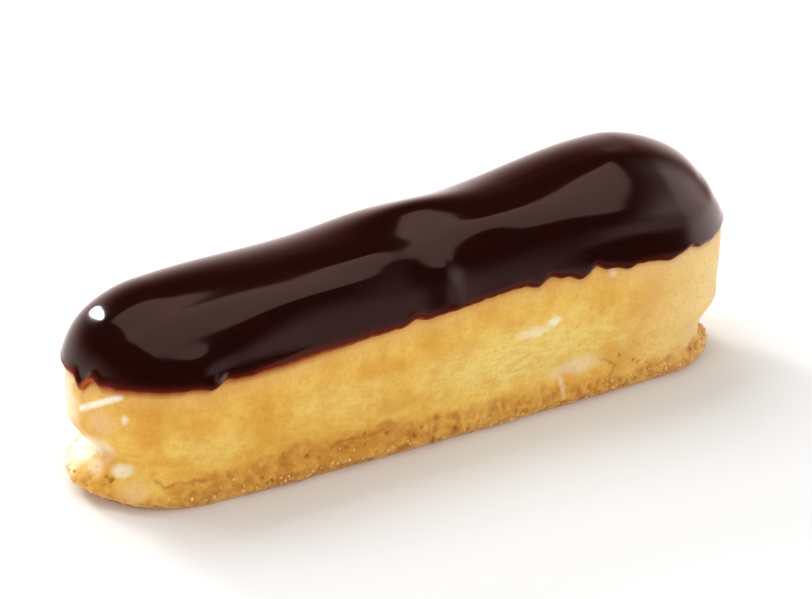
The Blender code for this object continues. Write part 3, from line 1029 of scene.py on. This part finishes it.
# %% Build the icing
settled = smoothstep(0.0, LEVEL_REACH, icing_layer(outer_share, 0.0)[2])
outer_points, outer_normal, climb = icing_layer(outer_share, 1 - settled)
lip = np.sqrt(np.clip(1 - (1 - np.minimum(climb / LIP_REACH, 1.0)) ** 2, 0, 1))
lip_thickness = along(LIP_THICKNESS, outer_points[..., 0])
above_edge = outer_points[..., 2] - along(EDGE_HEIGHTS, outer_points[..., 0])
thickened = smoothstep(0.0, THICK_REACH, above_edge)
thickness = lip_thickness + (ICING_THICKNESS - lip_thickness) * thickened
thickness = thickness * lip + INNER_GAP + swell_height(outer_points) * settled
outer = outer_points + outer_normal * thickness[..., None]
inner_points, inner_normal, _ = icing_layer(inner_share, 1.0)
inner = inner_points + INNER_GAP * inner_normal
icing_points = np.concatenate([outer[:, ::-1], inner[:, 1:]], 1)
icing_points = np.clip(icing_points, np.array(CAD_BOX[0]), np.array(CAD_BOX[1]))

rim = np.exp(-np.maximum(climbed(outer) - LIP_SHARE * lip_thickness, 0.0) / RIM_FADE)
rim = rim * along(RIM_STRENGTH, outer_points[..., 0])
rim = np.maximum(rim, blots(outer, THIN_PLACES))
rim_all = np.concatenate([rim[:, ::-1], np.repeat(rim[:, :1], INNER_ROWS - 1, 1)], 1)
icing = grid_piece("icing_coat", icing_points, {"rim": rim_all})
icing.data.materials.append(chocolate)

# %% [markdown]
# ## Loose crumbs
#
# The cut edge of the foot is sandy with crumbs of a quarter to half a millimetre. They are small
# rounded grains, scattered by Geometry Nodes where the foot's mask is strong, each turned and sized
# at random, with the instances made real so that the export keeps them.

# %% Scatter the crumbs
CRUMBS = {"Density": 1.7e6, "Smallest": 0.11 * MM, "Largest": 0.24 * MM}
CRUMB_BAND = (2.6 * MM, 0.8 * MM)
CRUMB_BASE = (0.2 * MM, 0.4 * MM)
NOT_BELOW = (-0.75, -0.35)
FULL_TURN = (6.3, 6.3, 6.3)
FLATTEST = (0.6, 0.6, 0.6)
FULLEST = (1.1, 1.1, 1.1)

crumb_group, scatter, given = geometry_tree("scatter_crumbs", CRUMBS)
level = scatter.add("ShaderNodeSeparateXYZ", {}, [scatter.add("GeometryNodeInputPosition")[0]])["Z"]
facing_up = scatter.add("ShaderNodeSeparateXYZ", {}, [scatter.add("GeometryNodeInputNormal")[0]])["Z"]
where = mask(scatter, "foot") * (level.step(*CRUMB_BAND) * 0.9 + 0.1)
where = where * facing_up.step(*NOT_BELOW) * level.step(*CRUMB_BASE)
dots = scatter.add("GeometryNodeDistributePointsOnFaces", {}, {
    "Mesh": given["Geometry"], "Density": where * given["Density"], "Seed": 4})
grain = scatter.add("GeometryNodeMeshIcoSphere", {}, {"Radius": 1.0, "Subdivisions": 2})[0]
turn = scatter.add("FunctionNodeRandomValue", {"data_type": "FLOAT_VECTOR"}, {
    "Min": (0.0, 0.0, 0.0), "Max": FULL_TURN, "Seed": 1})[0]
flat = scatter.add("FunctionNodeRandomValue", {"data_type": "FLOAT_VECTOR"}, {
    "Min": FLATTEST, "Max": FULLEST, "Seed": 2})[0]
grown = scatter.add("FunctionNodeRandomValue", {"data_type": "FLOAT"}, {
    2: given["Smallest"], 3: given["Largest"], "Seed": 3})[1]
size = scatter.add("ShaderNodeVectorMath", {"operation": "SCALE"}, {"Vector": flat, "Scale": grown})[0]
grains = scatter.add("GeometryNodeInstanceOnPoints", {}, {
    "Points": dots["Points"], "Instance": grain, "Rotation": turn, "Scale": size})[0]
solid = scatter.add("GeometryNodeRealizeInstances", {}, [grains])[0]
smooth = scatter.add("GeometryNodeSetShadeSmooth", {}, [solid])[0]
finished = scatter.add("GeometryNodeSetMaterial", {}, {"Geometry": smooth, "Material": crumb_finish})[0]
scatter.add("NodeGroupOutput", {}, [finished])
crumbs = bpy.data.objects.new("loose_crumbs", choux.data.copy())
bpy.context.scene.collection.objects.link(crumbs)
applied(crumbs, crumb_group, CRUMBS)

# %% [markdown]
# ## Hand the pieces to the frame
#
# Each piece rides on the imported body and stands for its solid.

# %% Attach the pieces
for piece, node in ((choux, "choux"), (icing, "icing")):
    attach(piece, "root")
    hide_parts(node)
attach(crumbs, "root")
print("attached:", [piece.name for piece in (choux, icing, crumbs)])

# %% [markdown]
# ## The studio
#
# A white floor and soft light. What lights the pastry and what its gloss mirrors are kept apart:
# each lamp shows in only one of the two, and the surroundings differ for them, so that each can be
# set by itself.

# %% Floor
FLOOR_HALF = 2.0
floor_mesh = bpy.data.meshes.new("floor")
corners = [(-FLOOR_HALF, -FLOOR_HALF, 0), (FLOOR_HALF, -FLOOR_HALF, 0),
           (FLOOR_HALF, FLOOR_HALF, 0), (-FLOOR_HALF, FLOOR_HALF, 0)]
floor_mesh.from_pydata(corners, [], [(0, 1, 2, 3)])
floor = bpy.data.objects.new("floor", floor_mesh)
bpy.context.scene.collection.objects.link(floor)
paper, tree, shader = new_material("white_paper", {
    "Base Color": (0.9, 0.9, 0.9, 1.0), "Roughness": 0.9, "Specular IOR Level": 0.0})
floor_mesh.materials.append(paper)

# %% [markdown]
# As light, the surroundings are an even, soft glow, and the camera sees them white. What the gloss
# mirrors is painted by direction, with X to the east, Y to the north and Z up, and is dark for the
# rest. It is white below the horizon behind, on the right. A glow behind, reddish high up and pale
# low down, lights the icing's back edge. A big card glows on the right, and a dim one in front
# lifts the right shoulder. The floor is left out of the gloss, so that the lip doesn't turn white.

# %% Surroundings
GLOW = (0.56, 0.56, 0.56, 1.0)
WHITE = (1.0, 1.0, 1.0, 1.0)
CEILING_DARK = (0.012, 0.008, 0.008, 1.0)
HORIZON = (1.7, 1.45, 1.4, 1.0)
REAR_LOW = (1.3, 1.04, 0.98, 1.0)
REAR_HIGH = (0.9, 0.25, 0.2, 1.0)
CARD = (1.55, 1.12, 1.05, 1.0)
FRONT = (0.68, 0.42, 0.39, 1.0)

floor.visible_glossy = False
world = bpy.data.worlds.new("studio")
world.use_nodes = True
bpy.context.scene.world = world
sky = Tree(world.node_tree.nodes, world.node_tree.links)
looking = sky.add("ShaderNodeSeparateXYZ", {}, [sky.add("ShaderNodeTexCoord")["Generated"]])
east, north, rise = looking["X"], looking["Y"], looking["Z"]
horizon = rise.step(0.05, -0.3) * (east + north * 1.3).step(0.3, 0.9)
rear = rise.step(0.64, -0.05) * (north - east * 0.3).step(0.0, 0.45)
card = east.step(0.5, 0.79) * north.step(-0.75, -0.4) * rise.step(0.9, 0.72)
card = card * (1.0 - north.step(0.1, 0.55) * 0.95)
front = east.step(0.08, 0.6) * rise.step(0.85, 0.2) * rise.step(-0.45, -0.12) * north.step(0.1, -0.3)
mirrored = sky.mix(front, CEILING_DARK, FRONT)
mirrored = sky.mix(card, mirrored, CARD)
mirrored = sky.mix(rear, mirrored, sky.mix(rear, REAR_HIGH, REAR_LOW))
mirrored = sky.mix(horizon, mirrored, HORIZON)
ray = sky.add("ShaderNodeLightPath")
seen = sky.mix(ray["Is Camera Ray"], GLOW, WHITE)
seen = sky.mix(ray["Is Glossy Ray"], seen, mirrored)
background = world.node_tree.nodes["Background"]
world.node_tree.links.new(seen.socket, background.inputs["Color"])

# %% [markdown]
# The key lamp stands behind and throws the soft shadow forwards. In the gloss an oval lamp, which
# gives no light, takes its place and draws the white spot. A wide panel overhead, also for the gloss
# alone, draws the long reflection along the icing. Three soft panels fill in the light.

# %% A lamp
def panel(name, middle, size, brightness, tint=(1.0, 1.0, 1.0), facing=None, gloss=True, light=True):
    """A flat lamp whose face has the given brightness. It aims at the pastry unless facing is set."""
    data = bpy.data.lights.new(name, "AREA")
    data.shape = "RECTANGLE"
    data.size, data.size_y = size
    data.energy = brightness * size[0] * size[1] * math.pi
    data.color = tint
    lamp = bpy.data.objects.new(name, data)
    lamp.location = middle
    aim = Vector(facing) if facing else Vector(middle) - PASTRY_MIDDLE
    lamp.rotation_euler = aim.to_track_quat("Z", "Y").to_euler()
    lamp.visible_camera = False
    lamp.visible_glossy = gloss
    lamp.visible_diffuse = light
    bpy.context.scene.collection.objects.link(lamp)
    return lamp


# %% Lamps
KEY_DIRECTION = Vector((-0.11, 0.91, 0.41)).normalized()
KEY_DISTANCE = 1.2
KEY_SIZE = (0.26, 0.26)
KEY_BRIGHTNESS = 28.0
DOT_DIRECTION = Vector((-0.131, 0.876, 0.465)).normalized()
DOT_SIZE = (0.7, 0.1)
DOT_BRIGHTNESS = 30.0
DOT_TURN = math.radians(57)
OVERHEAD = 0.5
OVERHEAD_X = (-0.416, 0.64)
OVERHEAD_Y = (-0.10, 0.66)
BAND_TINT = (1.0, 0.62, 0.54)

# Each soft panel is its name, its middle, its size and how bright its face looks.
SOFT_PANELS = [
    ("rear_softbox", (-0.1, 0.6, 0.9), (1.0, 0.7), 3.1),
    ("front_fill", (0.3, -1.1, 0.6), (1.4, 1.0), 1.0),
    ("left_fill", (-0.95, -0.25, 0.45), (0.7, 0.6), 1.3),
]
key = panel("key_lamp", KEY_DIRECTION * KEY_DISTANCE, KEY_SIZE, KEY_BRIGHTNESS, gloss=False)
key.data.shape = "DISK"
dot = panel("dot_lamp", DOT_DIRECTION * KEY_DISTANCE, DOT_SIZE, DOT_BRIGHTNESS, light=False)
dot.data.shape = "ELLIPSE"
dot.rotation_euler = (dot.rotation_euler.to_matrix() @ Matrix.Rotation(DOT_TURN, 3, "Z")).to_euler()
middle = (sum(OVERHEAD_X) / 2 * OVERHEAD, sum(OVERHEAD_Y) / 2 * OVERHEAD, OVERHEAD)
size = ((OVERHEAD_X[1] - OVERHEAD_X[0]) * OVERHEAD, (OVERHEAD_Y[1] - OVERHEAD_Y[0]) * OVERHEAD)
panel("overhead_gloss", middle, size, 1.0, tint=BAND_TINT, facing=(0, 0, 1), light=False)
for name, middle, size, brightness in SOFT_PANELS:
    panel(name, middle, size, brightness, gloss=False)
print("lamps:", [lamp.name for lamp in bpy.data.lights])
